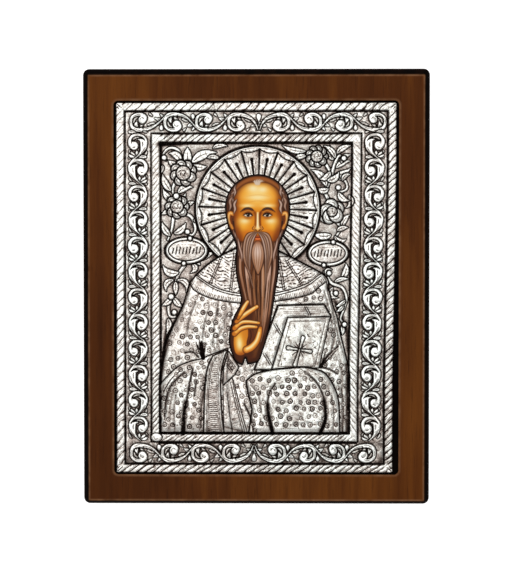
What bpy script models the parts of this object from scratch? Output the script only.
"""An icon in an embossed silver cover, lying on its back.

Three pieces: a stained board with a sunk field, the silver cover that lies in the field, and the
painted panel that shows through the cover's opening as the saint's head, beard and blessing hand.
Lengths are in millimetres until a mesh is made. +Z is the front of the icon, +Y its top, and the
origin is the middle of the board's back.
"""

import math

import bmesh
import bpy
import numpy as np

MM = 0.001

# Board
BOARD_WIDTH = 200.0
BOARD_HEIGHT = 251.4
BOARD_DEPTH = 18.0
BOARD_CORNER = 3.6
BEVEL_WIDTH = 2.4
BEVEL_DEPTH = 3.6
FIELD_WIDTH = 163.8
FIELD_HEIGHT = 215.1
FIELD_CORNER = 3.3
FIELD_DEPTH = 3.0
FIELD_Y = -0.6
EDGE_BREAK = 0.5
CORNER_STEPS = 5

# Cover: a sheet whose plain ground is SHEET thick, with its relief above
COVER_WIDTH = 161.6
COVER_HEIGHT = 213.6
COVER_CORNER = 2.4
TAPER = 2.0
TAPER_X = (25.0, 55.0)
TAPER_Y = (70.0, -55.0)
SHEET = 1.3
SEAT_GAP = 0.3
GRID = 0.5
COVER_TRIANGLES = 8300

# Borders, as half-widths and half-heights of the rectangles between them
ROPE = 4.9
BAND_OUTER = (75.2, 101.3)
BAND_INNER = (61.1, 89.4)
INNER_ROPE = (60.4, 88.8)
ROPE_RISE = 1.25
ROPE_CUT = 0.45

# Scrolls in the band between the ropes: where the stem's bends lie, from the middle outward
# along the top, and from the top down along the sides
SCROLL_RISE = 1.2
STEM = 0.9
TOP_BENDS = (10.9, 29.0, 47.2, 67.2)
TOP_SWAY = 4.4
SIDE_FIRST = 85.2
SIDE_STEPS = (13.2, 16.8)
SIDE_COUNT = 12
SIDE_SWAY = 4.7
BERRY = 1.5

# Halo
HALO_CENTRE = (0.9, 45.8)
HALO_RADIUS = 35.6
HALO_RIM = 1.5
HALO_SECTORS = 20
HALO_TURN = math.radians(-1.8)

# Head, beard and hand: the outline of the painted panel, the two paths as x, y and half-width
HEAD_Y = 46.6
HEAD_HALF = 18.9
HEAD_BELOW = 27.0
BEARD = [
    (1.0, 26.0, 12.2), (0.6, 12.0, 12.6), (0.8, 0.0, 10.6),
    (1.2, -16.0, 7.8), (1.0, -28.0, 5.2), (-1.6, -38.6, 4.6),
]
HAND = [(-4.6, -11.0, 4.6), (-7.4, -20.0, 6.6), (-8.4, -30.0, 7.4), (-7.2, -38.0, 6.4)]
OUTLINE_BLEND = 3.0
PANEL_GAP = 0.6
PANEL_RISE = 1.1
PANEL_ROWS = 44

# Heights of the figure above the ground
ROBE_EDGE = 0.45
ROBE_RISE = 1.5
FOLD_RISE = 0.7
BOOK_TOP = 2.9
VEIL_EDGE = 1.7
VEIL_RISE = 1.1
FIGURE_FOOT = -83.6


# ---------------------------------------------------------------- curves

def smooth(points, steps=5):
    """Catmull-Rom curve through points; every column, such as a radius, is carried along."""
    knots = np.asarray(points, dtype=float)
    padded = np.vstack([2 * knots[0] - knots[1], knots, 2 * knots[-1] - knots[-2]])
    curve = []
    for i in range(1, len(padded) - 2):
        a, b, c, d = padded[i - 1:i + 3]
        for t in np.arange(steps) / steps:
            linear = (c - a) * t
            square = (2 * a - 5 * b + 4 * c - d) * t ** 2
            cube = (3 * b - a - 3 * c + d) * t ** 3
            curve.append(b + 0.5 * (linear + square + cube))
    curve.append(knots[-1])
    return np.array(curve)


def turned(points, place, turn=0.0, mirror=1):
    """Points of a motif drawn around the origin, mirrored in X, turned and moved to place."""
    points = np.asarray(points, dtype=float) * (mirror, 1)
    cosine, sine = math.cos(turn), math.sin(turn)
    matrix = np.array([[cosine, sine], [-sine, cosine]])
    return points @ matrix + place


def spiral(start, end, radius_start, radius_end, count=14):
    """Points round the origin from one angle to another, in degrees, with a changing radius."""
    angle = np.radians(np.linspace(start, end, count))
    radius = np.linspace(radius_start, radius_end, count)
    return np.column_stack([radius * np.cos(angle), radius * np.sin(angle)])


# ---------------------------------------------------------------- relief

class Relief:
    """A height field over the cover, in millimetres above its plain ground."""

    def __init__(self, width, height, step):
        columns = round(width / step) + 1
        rows = round(height / step) + 1
        self.x_line = np.linspace(-width / 2, width / 2, columns)
        self.y_line = np.linspace(-height / 2, height / 2, rows)
        self.z = np.zeros((rows, columns))

    def window(self, points, margin):
        """The part of the field that holds the points, with a margin."""
        low = np.min(points, axis=0) - margin
        high = np.max(points, axis=0) + margin
        left, right = np.searchsorted(self.x_line, (low[0], high[0]))
        bottom, top = np.searchsorted(self.y_line, (low[1], high[1]))
        return np.s_[bottom:top, left:right]

    def grid(self, window=np.s_[:, :]):
        return np.meshgrid(self.x_line[window[1]], self.y_line[window[0]])

    def margin(self):
        return 2 * (self.x_line[1] - self.x_line[0])

    def lay(self, window, distance, reach, rise, base=0.0):
        """Put a rounded form where distance is negative; it is full at reach inside its edge.

        With no base it stands on what is already there.
        """
        under = self.z[window] if base is None else base
        depth = np.clip(-distance / reach, 0.0, 1.0)
        form = under + rise * np.sqrt(depth * (2.0 - depth))
        self.z[window] = np.where(distance < 0, form, self.z[window])


def path_distance(x, y, points, radii):
    """Distance to the edge of a path of changing half-width, and its half-width there."""
    best = np.full(x.shape, 1e6)
    width = np.full(x.shape, float(radii[0]))
    for i in range(len(points) - 1):
        ax, ay = points[i]
        dx, dy = points[i + 1] - points[i]
        length = max(dx * dx + dy * dy, 1e-9)
        t = np.clip(((x - ax) * dx + (y - ay) * dy) / length, 0.0, 1.0)
        radius = radii[i] + (radii[i + 1] - radii[i]) * t
        distance = np.hypot(x - ax - t * dx, y - ay - t * dy) - radius
        nearer = distance < best
        best = np.where(nearer, distance, best)
        width = np.where(nearer, radius, width)
    return best, np.maximum(width, 0.1)


def stroke(relief, points, radii, rise, base=0.0):
    """A rounded ridge along a line of points."""
    points = np.asarray(points, dtype=float)
    radii = np.broadcast_to(np.asarray(radii, dtype=float), (len(points),))
    window = relief.window(points, radii.max() + relief.margin())
    x, y = relief.grid(window)
    distance, width = path_distance(x, y, points, radii)
    relief.lay(window, distance, width, rise, base)


def leaf(relief, root, tip, width, bend=0.0, rise=0.9):
    """A pointed leaf from root to tip, bent to its left by a share of its length."""
    root, tip = np.asarray(root, dtype=float), np.asarray(tip, dtype=float)
    t = np.linspace(0, 1, 9)[:, None]
    side = np.array([root[1] - tip[1], tip[0] - root[0]])
    line = root + (tip - root) * t + side * bend * 4 * t * (1 - t)
    radii = 0.15 + width / 2 * np.sin(math.pi * t[:, 0] ** 0.8)
    stroke(relief, line, radii, rise)


def disc(relief, centre, radius, rise, base=0.0):
    centre = np.asarray(centre, dtype=float)
    stroke(relief, [centre, centre + (1e-3, 0)], [radius, radius], rise, base)


def oval(relief, centre, half, rise, base=0.0, turn=0.0):
    """An oval dome with half-axes half, its first axis turned from +X."""
    centre = np.asarray(centre, dtype=float)
    window = relief.window([centre], max(half) + relief.margin())
    x, y = relief.grid(window)
    along = (x - centre[0]) * math.cos(turn) + (y - centre[1]) * math.sin(turn)
    across = (y - centre[1]) * math.cos(turn) - (x - centre[0]) * math.sin(turn)
    distance = (np.hypot(along / half[0], across / half[1]) - 1.0) * min(half)
    relief.lay(window, distance, min(half), rise, base)


def inside_outline(x, y, outline):
    """Whether points lie inside a closed outline, by counting the edges to their right."""
    inside = np.zeros(x.shape, dtype=bool)
    following = np.roll(outline, -1, axis=0)
    for (ax, ay), (bx, by) in zip(outline, following):
        if ay == by:
            continue
        crosses = (ay > y) != (by > y)
        inside ^= crosses & (x < ax + (bx - ax) * (y - ay) / (by - ay))
    return inside


def outline_distance(x, y, outline):
    closed = np.vstack([outline, outline[:1]])
    distance, _ = path_distance(x, y, closed, np.zeros(len(closed)))
    return np.where(inside_outline(x, y, outline), -distance, distance)


def region(relief, outline, rise, reach, base=0.0):
    """A raised area with rounded edges inside a closed outline."""
    outline = np.asarray(outline, dtype=float)
    window = relief.window(outline, relief.margin())
    x, y = relief.grid(window)
    relief.lay(window, outline_distance(x, y, outline), reach, rise, base)


# ---------------------------------------------------------------- borders

def rope(relief, half, pitch, slants):
    """A twisted rope round a rectangle; half is its outer edge, slants its lay on each side."""
    x, y = relief.grid()
    from_side = half[0] - np.abs(x)
    from_end = half[1] - np.abs(y)
    on_side = from_side < from_end
    across = np.where(on_side, from_side, from_end) - ROPE / 2
    lay_side = np.where(x < 0, slants[0], slants[1])
    along = np.where(on_side, y, x)
    slope = np.where(on_side, lay_side * np.sign(x), slants[2] * np.sign(y))
    phase = (along + slope * across) / pitch
    strand = np.abs(np.sin(math.pi * phase)) ** 0.5
    distance = np.abs(across) - ROPE / 2
    depth = np.clip(-distance / (ROPE / 2), 0.0, 1.0)
    form = ROPE_RISE * np.sqrt(depth * (2.0 - depth)) - ROPE_CUT * (1.0 - strand)
    relief.z = np.where(distance < 0, np.maximum(form, 0.0), relief.z)


def scroll(relief, place, turn, mirror):
    """One volute of the running scroll: its leaves and bud, and a hook that ends in a bulb."""
    drawn = [(3.6, 1.4), (8.6, -0.4), (4.4, -1.8), (8.0, -3.8), (-7.2, -3.9), (-6.6, -2.9)]
    parts = turned(drawn, place, turn, mirror)
    leaf(relief, parts[0], parts[1], 2.4, 0.12 * mirror)
    leaf(relief, parts[2], parts[3], 1.8, -0.14 * mirror)
    stroke(relief, parts[4:], (1.15, 0.5), SCROLL_RISE)
    claw = turned([(-3.7, 2.2), (-3.0, 0.4), (-2.6, -1.6)], place, turn, mirror)
    stroke(relief, claw, (0.3, 0.8, 0.3), SCROLL_RISE)
    arm = spiral(140, 322, 5.3, 4.5)
    bulb = [(3.3, -2.4), (1.4, -1.5)]
    hook = turned(np.vstack([arm, bulb]), place, turn, mirror)
    widths = np.concatenate([np.linspace(0.4, 1.0, len(arm)), (1.3, 2.3)])
    stroke(relief, hook, widths, SCROLL_RISE)


def bend(start, end, from_sway, to_sway, steps=12):
    """Points of a stem that swings from one side at start to another at end."""
    t = np.linspace(0, 1, steps)
    swing = (1 - np.cos(math.pi * t)) / 2
    return np.column_stack([start + (end - start) * t, from_sway + (to_sway - from_sway) * swing])


def scroll_band(relief):
    """Running scrolls on all four sides: a wavy stem with a volute in every bend."""
    across = (BAND_OUTER[1] + BAND_INNER[1]) / 2
    for end in (1, -1):
        sways = [-end * TOP_SWAY * (-1) ** k for k in range(len(TOP_BENDS))]
        bends = [bend(TOP_BENDS[k], TOP_BENDS[k + 1], sways[k], sways[k + 1]) for k in range(len(sways) - 1)]
        middle = bend(0.0, TOP_BENDS[0], end * TOP_SWAY, end * TOP_SWAY * 0.9)
        line = np.vstack([middle] + bends) + (0, end * across)
        for side in (1, -1):
            stroke(relief, line * (side, 1), STEM, SCROLL_RISE)
            for k, x in enumerate(TOP_BENDS):
                up = end * (-1) ** k
                turn = 0.0 if up > 0 else math.pi
                scroll(relief, (side * x, end * across), turn, -side * up)
    column = (BAND_OUTER[0] + BAND_INNER[0]) / 2
    heights = [SIDE_FIRST]
    for k in range(SIDE_COUNT - 1):
        heights.append(heights[-1] - SIDE_STEPS[k % 2])
    for side in (1, -1):
        sways = [-SIDE_SWAY * (-1) ** k for k in range(SIDE_COUNT)]
        bends = [bend(heights[k], heights[k + 1], sways[k], sways[k + 1]) for k in range(SIDE_COUNT - 1)]
        line = np.vstack(bends)[:, ::-1] + (column, 0)
        stroke(relief, line * (side, 1), STEM, SCROLL_RISE)
        for k in range(SIDE_COUNT):
            inward = -side * (-1) ** k
            scroll(relief, (side * column, heights[k]), -math.pi / 2 * inward, inward)


# ---------------------------------------------------------------- panel

def blossom(relief, centre, petals, radius, heart, turn=0.0):
    """A flower: a ring of rounded petals and a raised heart."""
    size = radius * math.sin(math.pi / petals) * 1.05
    for k in range(petals):
        angle = turn + k * math.tau / petals
        reach = radius - size * 0.9
        place = np.add(centre, (reach * math.cos(angle), reach * math.sin(angle)))
        oval(relief, place, (size * 1.15, size), 1.1, turn=angle)
    disc(relief, centre, heart, 1.0, 0.35)


def flora(relief):
    """Flowers, curling stems and leaves that fill the ground beside the halo and the shoulders."""
    stems = [
        [(-46.4, 61.1), (-48.1, 57.0), (-47.2, 52.5)],
        [(-47.6, 41.4), (-48.6, 34.0), (-50.9, 27.7)],
        [(-42.7, 43.0), (-37.4, 41.0), (-35.0, 34.3), (-36.7, 30.6), (-39.4, 31.6)],
        [(-40.6, 14.0), (-44.8, 8.0), (-46.2, 2.0), (-46.4, -3.0), (-48.9, -5.0)],
        [(-48.9, -5.0), (-50.6, -11.0), (-49.8, -16.0), (-47.0, -16.6), (-46.8, -13.6)],
        [(39.8, 71.7), (42.7, 65.8), (41.5, 58.0)],
        [(42.7, 62.4), (45.0, 71.0), (47.6, 76.0), (50.0, 75.0)],
        [(41.8, 50.6), (40.0, 56.0), (44.3, 63.2), (51.0, 61.8), (52.4, 57.2), (48.4, 55.4), (46.4, 57.8)],
        [(46.5, 38.5), (49.2, 34.6), (46.5, 29.8)],
        [(39.8, 9.0), (44.0, 3.0), (50.6, 0.2), (53.2, -5.9), (51.6, -12.4), (49.8, -17.6), (51.9, -20.4)],
        [(-43.2, 72.0), (-44.6, 79.0), (-49.6, 80.6), (-53.3, 77.2), (-52.0, 73.6)],
    ]
    for stem in stems:
        line = smooth(stem)
        stroke(relief, line, np.linspace(1.15, 0.7, len(line)), 1.0)
        disc(relief, line[-1], BERRY, 1.1)
    leaves = [
        ((-39.5, 71.5), (-39.5, 81.0), 4.6, 0.0), ((-37.0, 72.0), (-22.6, 78.0), 5.0, 0.12),
        ((-36.6, 70.4), (-28.4, 70.0), 3.6, -0.1), ((-25.0, 80.4), (-16.5, 81.6), 2.6, 0.12),
        ((-43.6, 73.0), (-50.2, 77.4), 4.0, -0.2), ((-45.0, 70.6), (-50.6, 73.6), 3.2, 0.1),
        ((-49.0, 56.0), (-53.8, 65.6), 3.8, 0.1), ((-48.1, 50.1), (-53.6, 57.0), 3.4, 0.1),
        ((-45.0, 54.6), (-36.4, 58.0), 3.6, 0.15), ((-44.8, 52.6), (-40.6, 54.6), 2.2, -0.3),
        ((-49.5, 30.2), (-54.2, 38.0), 3.4, 0.1), ((-47.4, 31.5), (-40.6, 37.6), 3.4, -0.15),
        ((-44.6, 9.0), (-53.8, 13.2), 4.0, 0.25), ((-37.6, 14.6), (-38.0, 8.6), 3.0, 0.45),
        ((-46.4, 3.5), (-46.4, -4.0), 3.0, 0.0), ((-45.6, 4.6), (-40.4, -2.5), 3.2, 0.35),
        ((-47.6, 4.6), (-51.8, -2.0), 3.2, -0.3), ((-48.7, -5.6), (-54.4, -10.0), 3.0, 0.1),
        ((-47.4, -5.6), (-42.4, -11.0), 3.2, -0.1), ((-50.9, -17.6), (-51.8, -26.6), 3.2, 0.12),
        ((-31.5, 16.0), (-23.6, 20.4), 2.8, 0.1), ((-35.4, 15.0), (-32.4, 13.0), 2.0, 0.2),
        ((28.6, 78.8), (15.0, 82.2), 3.2, 0.1), ((28.6, 76.0), (21.4, 73.4), 3.0, -0.1),
        ((44.2, 73.6), (42.4, 82.0), 3.6, 0.12), ((46.4, 77.4), (54.6, 81.8), 3.2, 0.12),
        ((46.0, 69.0), (54.2, 73.0), 3.2, 0.12), ((44.6, 64.8), (54.2, 69.0), 3.6, -0.12),
        ((40.4, 58.4), (31.6, 68.0), 4.2, -0.15), ((53.4, 53.4), (52.0, 46.0), 3.2, 0.3),
        ((49.8, 35.4), (54.4, 42.4), 3.2, 0.1), ((43.6, 30.6), (33.0, 31.4), 4.0, 0.12),
        ((45.6, 30.0), (52.6, 28.2), 3.0, -0.3), ((50.0, 5.6), (52.4, 14.4), 3.6, -0.15),
        ((46.0, 3.4), (54.4, 5.2), 2.4, 0.1), ((41.6, 7.0), (44.4, 10.6), 2.6, 0.45),
        ((45.0, 0.6), (48.4, -5.6), 3.0, -0.5), ((52.4, -7.0), (46.8, -10.6), 2.4, 0.1),
        ((51.4, -10.0), (47.2, -13.6), 2.2, 0.1), ((50.6, -22.0), (51.0, -27.0), 2.4, 0.1),
    ]
    for root, tip, width, bend in leaves:
        leaf(relief, root, tip, width, bend)
    blossom(relief, (-41.9, 66.2), 6, 6.8, 2.6, 0.3)
    blossom(relief, (-45.6, 46.9), 8, 6.0, 2.6)
    blossom(relief, (34.9, 75.7), 10, 5.8, 3.4)
    blossom(relief, (43.9, 44.0), 5, 6.2, 2.6, 0.5)


def halo(relief):
    """The halo: a rim, a field of rays in sectors and a dot-ended bar in every sector."""
    window = relief.window([HALO_CENTRE], HALO_RADIUS + 2)
    x, y = relief.grid(window)
    radius = np.hypot(x - HALO_CENTRE[0], y - HALO_CENTRE[1])
    sector = (np.arctan2(y - HALO_CENTRE[1], x - HALO_CENTRE[0]) - HALO_TURN) / math.tau * HALO_SECTORS
    beside = np.abs(sector - np.round(sector))
    field_edge = HALO_RADIUS - HALO_RIM - 2.2 + 1.6 * (1 - 2 * beside)
    ray = 0.35 + 0.55 * np.clip(beside / 0.12, 0, 1)
    rim = 1.0 * np.clip((HALO_RADIUS - radius) / 0.5, 0, 1)
    form = np.where(radius < field_edge, ray, rim)
    relief.z[window] = np.where(radius < HALO_RADIUS, form, relief.z[window])
    for k in range(HALO_SECTORS):
        angle = HALO_TURN + (k + 0.5) * math.tau / HALO_SECTORS
        out = np.array([math.cos(angle), math.sin(angle)])
        stroke(relief, [HALO_CENTRE + out * 18.0, HALO_CENTRE + out * 28.6], 0.45, 0.35, None)
        disc(relief, HALO_CENTRE + out * 28.8, 0.9, 0.3, 0.9)


def cartouche(relief, centre, half, knots):
    """An oval name plate in a raised ring, with a row of plain strokes where a name would be."""
    oval(relief, centre, (half[0] + 1.9, half[1] + 1.9), 1.3)
    oval(relief, centre, half, 0.25, 0.6)
    for k in range(8):
        foot = np.add(centre, ((k - 3.5) * 2.1, -1.5))
        stroke(relief, [foot, foot + (0.5, 3.0)], 0.4, 0.3, None)
    for knot in knots:
        disc(relief, np.add(centre, knot), 1.2, 1.5)


# ---------------------------------------------------------------- figure

def robe(relief):
    """The robed body, from the shoulders down."""
    left = [
        (-12.0, 22.6), (-19.8, 18.6), (-28.9, 12.4), (-37.0, 4.0), (-39.8, -3.4),
        (-42.3, -10.7), (-48.0, -22.9), (-51.3, -30.9), (-53.2, -40.0), (-55.4, -52.0),
    ]
    right = [
        (55.4, -50.0), (52.8, -38.2), (49.6, -26.8), (47.6, -17.6), (44.7, -9.9),
        (42.3, -1.3), (40.2, 6.6), (25.6, 14.7), (11.3, 21.8),
    ]
    foot = [(-55.4, FIGURE_FOOT), (55.4, FIGURE_FOOT)]
    region(relief, np.vstack([smooth(left), foot, smooth(right)]), ROBE_RISE, 10.0, ROBE_EDGE)


def yoke(relief):
    """The yoke over the shoulders, with its raised hem and the rule above it."""
    hem = [
        (-38.2, 3.2), (-34.7, -1.6), (-22.7, -6.5), (0.0, -8.6),
        (28.3, -4.1), (36.4, 0.8), (41.2, 4.4),
    ]
    rule = [(-34.4, 7.2), (-23.7, 0.4), (-12.7, -2.8), (0.0, -3.8), (11.7, -2.9), (27.9, 1.8), (37.6, 8.2)]
    stroke(relief, smooth(hem) + (0, 1.2), 1.2, 0.5, None)
    stroke(relief, smooth(rule), 0.8, 0.4, None)


def folds(relief):
    """The sleeve that crosses the body on the left, and the long folds, as x, y and half-width."""
    edge = [
        (-55.4, -56.0), (-50.0, -50.0), (-44.3, -45.2), (-37.0, -42.3),
        (-31.3, -41.0), (-26.7, -39.0), (-16.6, -35.1),
    ]
    foot = [(-16.0, -60.0), (-14.0, FIGURE_FOOT), (-55.4, FIGURE_FOOT)]
    region(relief, np.vstack([smooth(edge), foot]), FOLD_RISE, 4.0, None)
    ridges = [
        [(-35.0, -47.0, 0.8), (-36.6, -61.0, 1.4), (-38.0, -83.0, 1.8)],
        [(-43.5, -50.1, 0.8), (-47.7, -59.4, 1.6), (-48.3, -74.4, 1.6)],
        [(-8.9, -63.7, 0.8), (-5.0, -74.4, 1.2), (-1.7, -83.0, 1.4)],
        [(37.6, -42.5, 0.8), (42.8, -36.5, 1.4), (49.0, -32.0, 1.0)],
        [(-40.4, -34.9, 0.8), (-36.0, -35.0, 1.2), (-33.1, -38.0, 0.8)],
        [(-37.0, -12.0, 0.8), (-41.0, -22.0, 1.4), (-44.0, -34.0, 1.0)],
        [(38.0, -14.0, 0.8), (42.0, -24.0, 1.4), (45.0, -32.0, 1.0)],
    ]
    for ridge in ridges:
        line = smooth(ridge)
        stroke(relief, line[:, :2], line[:, 2], FOLD_RISE / 2, None)


def stole(relief):
    """The long end of the stole that hangs from the sleeve, with ribs across it, and the cuff."""
    left = [(-24.8, -39.2), (-27.7, -45.9), (-28.9, -53.2), (-29.6, -63.0), (-30.1, FIGURE_FOOT)]
    right = [
        (-18.7, FIGURE_FOOT), (-19.9, -73.5), (-20.7, -57.2),
        (-20.3, -49.1), (-19.1, -42.2), (-17.1, -36.0),
    ]
    region(relief, np.vstack([smooth(left), smooth(right)]), FOLD_RISE / 2, 0.9, None)
    for k in range(9):
        height = -46.0 - 4.1 * k
        stroke(relief, [(-28.0 - 0.15 * k, height), (-21.4, height)], 0.5, 0.25, None)
    cuff = [(-15.8, -36.8), (-10.1, -45.5), (-12.4, -49.8), (-19.0, -55.6), (-18.6, -46.0)]
    region(relief, cuff, FOLD_RISE, 1.0, None)


def book(relief):
    """The closed book: its cover with a cross, and its leaves along the top and the spine."""
    block = [(12.8, -10.3), (39.5, -9.6), (43.6, -16.2), (43.3, -17.0), (8.4, -46.8), (-0.6, -46.8)]
    region(relief, block, 0.8, 0.8, BOOK_TOP - 1.1)
    cover = [(18.2, -17.0), (43.3, -16.6), (36.8, -45.8), (9.2, -46.4)]
    region(relief, cover, 0.8, 0.8, BOOK_TOP - 0.8)
    centre = np.array([25.0, -35.4])
    for degrees, reach in ((82, 7.2), (262, 9.0), (172, 6.2), (352, 6.2)):
        out = np.array([math.cos(math.radians(degrees)), math.sin(math.radians(degrees))])
        stroke(relief, [centre, centre + out * reach], (0.7, 1.1), 0.5, BOOK_TOP)
    for height in (-20.6, -37.8):
        start = np.array([9.8 + (height + 20.6) * 0.34, height])
        stroke(relief, [start, start + (4.6, -6.6)], 0.6, 0.4, None)


def veiled_arm(relief):
    """The arm under the veil, which carries the book, with the rounded hand inside it."""
    top = [
        (-5.4, -53.6), (-0.3, -49.8), (9.0, -47.4), (17.9, -46.4), (28.1, -45.8),
        (36.0, -47.4), (41.1, -50.0), (46.0, -57.0), (48.8, -66.0), (49.6, FIGURE_FOOT),
    ]
    foot = [(-4.0, FIGURE_FOOT), (-2.0, -70.0), (-4.4, -60.0)]
    region(relief, np.vstack([smooth(top), foot]), VEIL_RISE, 5.0, VEIL_EDGE)
    hand = [
        (9.0, FIGURE_FOOT), (6.6, -68.0), (9.6, -56.6), (20.0, -51.6),
        (31.3, -51.4), (38.4, -58.4), (40.6, -70.0), (38.3, FIGURE_FOOT),
    ]
    region(relief, smooth(hand), 0.6, 6.0, VEIL_EDGE + VEIL_RISE)


def compose(relief):
    """The whole relief, from the ground forward."""
    scroll_band(relief)
    rope(relief, (COVER_WIDTH / 2, COVER_HEIGHT / 2), 4.8, (0.8, 0.6, 0.75))
    rope(relief, INNER_ROPE, 3.9, (0.8, -0.8, 0.75))
    flora(relief)
    halo(relief)
    cartouche(relief, (-40.1, 21.6), (10.4, 5.9), ((2.0, 7.0), (-1.6, -7.4)))
    cartouche(relief, (41.8, 20.0), (10.2, 5.6), ((3.0, 6.4), (-2.4, -6.8)))
    robe(relief)
    yoke(relief)
    folds(relief)
    stole(relief)
    book(relief)
    veiled_arm(relief)


# ---------------------------------------------------------------- outlines

def saint_distance(x, y):
    """Distance to the joined outline of head, beard and hand, negative inside."""
    half_height = np.where(y > HEAD_Y, HEAD_HALF, HEAD_BELOW)
    head = (np.hypot(x - HALO_CENTRE[0], (y - HEAD_Y) * HEAD_HALF / half_height) - HEAD_HALF)
    distance = head
    for path in (BEARD, HAND):
        line = smooth(path)
        along, _ = path_distance(x, y, line[:, :2], line[:, 2])
        blend = np.maximum(OUTLINE_BLEND - np.abs(distance - along), 0.0)
        distance = np.minimum(distance, along) - blend ** 2 / (4 * OUTLINE_BLEND)
    return distance


def box_distance(x, y, width, height, corner):
    across = np.abs(x) - width / 2 + corner
    along = np.abs(y) - height / 2 + corner
    outside = np.hypot(np.maximum(across, 0), np.maximum(along, 0))
    return outside + np.minimum(np.maximum(across, along), 0) - corner


def rounded_loop(width, height, corner, z, centre_y=0.0):
    """Points round a rectangle with rounded corners, anticlockwise."""
    loop = []
    for quarter, (sx, sy) in enumerate([(1, 1), (-1, 1), (-1, -1), (1, -1)]):
        for k in range(CORNER_STEPS):
            angle = (quarter + k / (CORNER_STEPS - 1)) * math.pi / 2
            x = sx * (width / 2 - corner) + corner * math.cos(angle)
            y = sy * (height / 2 - corner) + corner * math.sin(angle)
            loop.append((x, y + centre_y, z))
    return loop


# ---------------------------------------------------------------- meshes

def add_object(name, mesh, material, place=(0, 0, 0)):
    piece = bpy.data.objects.new(name, mesh)
    piece.location = np.array(place) * MM
    bpy.context.scene.collection.objects.link(piece)
    mesh.materials.append(material)
    return piece


def finish_material(name, colour, roughness, metallic):
    material = bpy.data.materials.new(name)
    material.use_nodes = True
    shader = material.node_tree.nodes["Principled BSDF"]
    shader.inputs["Base Color"].default_value = (*colour, 1.0)
    shader.inputs["Roughness"].default_value = roughness
    shader.inputs["Metallic"].default_value = metallic
    return material


def narrowed(x, y):
    """The cover is cut a little narrower at its lower right, by TAPER at the most."""
    across = np.clip((x - TAPER_X[0]) / (TAPER_X[1] - TAPER_X[0]), 0, 1)
    down = np.clip((y - TAPER_Y[0]) / (TAPER_Y[1] - TAPER_Y[0]), 0, 1)
    return x - TAPER * across * down


def relief_mesh(name, relief, distance):
    """A closed mesh under the relief, cut to where distance is negative, with a flat back."""
    step = relief.x_line[1] - relief.x_line[0]
    x, y = relief.grid()
    slope_y, slope_x = np.gradient(distance, step)
    near = distance <= 0.4 * step
    cells = near[:-1, :-1] & near[:-1, 1:] & near[1:, :-1] & near[1:, 1:]
    around = np.zeros((cells.shape[0] + 2, cells.shape[1] + 2), dtype=int)
    around[1:-1, 1:-1] = cells
    touching = around[:-1, :-1] + around[:-1, 1:] + around[1:, :-1] + around[1:, 1:]
    rim = (touching > 0) & (touching < 4)
    length = np.maximum(np.hypot(slope_x, slope_y), 1e-6)
    x = np.where(rim, x - distance * slope_x / length, x)
    y = np.where(rim, y - distance * slope_y / length, y)
    x = narrowed(x, y)
    used = touching > 0
    number = np.full(used.shape, -1)
    number[used] = np.arange(used.sum())
    count = int(used.sum())
    top = np.column_stack([x[used], y[used], relief.z[used] + SHEET])
    back = top * (1, 1, 0)
    quads = np.stack([number[:-1, :-1], number[:-1, 1:], number[1:, 1:], number[1:, :-1]], axis=-1)[cells]
    edges = np.concatenate([quads[:, [k, (k + 1) % 4]] for k in range(4)])
    keys = set(map(tuple, edges.tolist()))
    walls = [(b, a, a + count, b + count) for a, b in keys if (b, a) not in keys]
    faces = quads.tolist() + (quads[:, ::-1] + count).tolist() + walls
    mesh = bpy.data.meshes.new(name)
    mesh.from_pydata(np.vstack([top, back]) * MM, [], faces)
    return mesh


def make_cover():
    """The embossed silver cover with its opening."""
    relief = Relief(COVER_WIDTH, COVER_HEIGHT, GRID)
    compose(relief)
    x, y = relief.grid()
    outer = box_distance(x, y, COVER_WIDTH, COVER_HEIGHT, COVER_CORNER)
    distance = np.maximum(outer, -saint_distance(x, y))
    mesh = relief_mesh("silver_cover", relief, distance)
    silver = finish_material("silver", (0.86, 0.84, 0.82), 0.3, 1.0)
    cover = add_object("silver_cover", mesh, silver, (0, FIELD_Y, cover_floor()))
    decimate = cover.modifiers.new("fewer_faces", "DECIMATE")
    triangles = sum(len(face.vertices) - 2 for face in mesh.polygons)
    decimate.ratio = COVER_TRIANGLES / triangles
    decimate.use_collapse_triangulate = True
    return cover


def cover_floor():
    return BOARD_DEPTH - FIELD_DEPTH + SEAT_GAP


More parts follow.
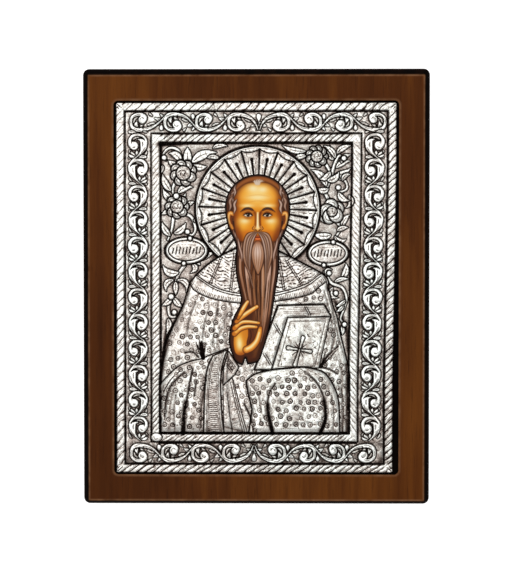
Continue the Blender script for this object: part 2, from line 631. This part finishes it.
def make_panel():
    """The painted panel, a plate that fills the cover's opening with a narrow gap all round."""
    rows = np.linspace(HEAD_Y + HEAD_HALF, HAND[-1][1] - HAND[-1][2], 1200)
    across = np.linspace(-COVER_WIDTH / 4, COVER_WIDTH / 4, 1600)
    x, y = np.meshgrid(across, rows)
    inside = saint_distance(x, y) < -PANEL_GAP
    filled = [row for row in range(len(rows)) if inside[row].any()]
    picks = [filled[round(k)] for k in np.linspace(0, len(filled) - 1, PANEL_ROWS)]
    left = [(across[inside[row]].min(), rows[row]) for row in picks]
    right = [(across[inside[row]].max(), rows[row]) for row in picks]
    outline = left + right[::-1]
    build = bmesh.new()
    corners = [build.verts.new((px * MM, py * MM, 0.0)) for px, py in outline]
    face = build.faces.new(corners)
    lifted = bmesh.ops.extrude_face_region(build, geom=[face])["geom"]
    tops = [item for item in lifted if isinstance(item, bmesh.types.BMVert)]
    bmesh.ops.translate(build, verts=tops, vec=(0, 0, (SHEET + PANEL_RISE) * MM))
    bmesh.ops.recalc_face_normals(build, faces=build.faces)
    mesh = bpy.data.meshes.new("painted_panel")
    build.to_mesh(mesh)
    build.free()
    paint = finish_material("paint", (0.42, 0.2, 0.08), 0.35, 0.0)
    return add_object("painted_panel", mesh, paint, (0, FIELD_Y, cover_floor()))


def make_board():
    """The board: bevelled round its front edge, with a sunk field for the cover."""
    inner = (BOARD_WIDTH - 2 * BEVEL_WIDTH, BOARD_HEIGHT - 2 * BEVEL_WIDTH)
    loops = [
        rounded_loop(BOARD_WIDTH - 2 * EDGE_BREAK, BOARD_HEIGHT - 2 * EDGE_BREAK, BOARD_CORNER, 0.0),
        rounded_loop(BOARD_WIDTH, BOARD_HEIGHT, BOARD_CORNER, EDGE_BREAK),
        rounded_loop(BOARD_WIDTH, BOARD_HEIGHT, BOARD_CORNER, BOARD_DEPTH - BEVEL_DEPTH),
        rounded_loop(*inner, BOARD_CORNER / 2, BOARD_DEPTH),
        rounded_loop(FIELD_WIDTH + 1, FIELD_HEIGHT + 1, FIELD_CORNER, BOARD_DEPTH, FIELD_Y),
        rounded_loop(FIELD_WIDTH, FIELD_HEIGHT, FIELD_CORNER, BOARD_DEPTH - EDGE_BREAK, FIELD_Y),
        rounded_loop(FIELD_WIDTH, FIELD_HEIGHT, FIELD_CORNER, BOARD_DEPTH - FIELD_DEPTH, FIELD_Y),
    ]
    build = bmesh.new()
    rings = [[build.verts.new(np.array(point) * MM) for point in loop] for loop in loops]
    for lower, upper in zip(rings, rings[1:]):
        for k in range(len(lower)):
            after = (k + 1) % len(lower)
            build.faces.new((lower[k], lower[after], upper[after], upper[k]))
    build.faces.new(reversed(rings[0]))
    build.faces.new(rings[-1])
    bmesh.ops.recalc_face_normals(build, faces=build.faces)
    mesh = bpy.data.meshes.new("wood_board")
    build.to_mesh(mesh)
    build.free()
    wood = finish_material("wood", (0.09, 0.023, 0.006), 0.4, 0.0)
    return add_object("wood_board", mesh, wood)


def main():
    for old in list(bpy.data.objects):
        bpy.data.objects.remove(old)
    make_board()
    make_cover()
    make_panel()


main()
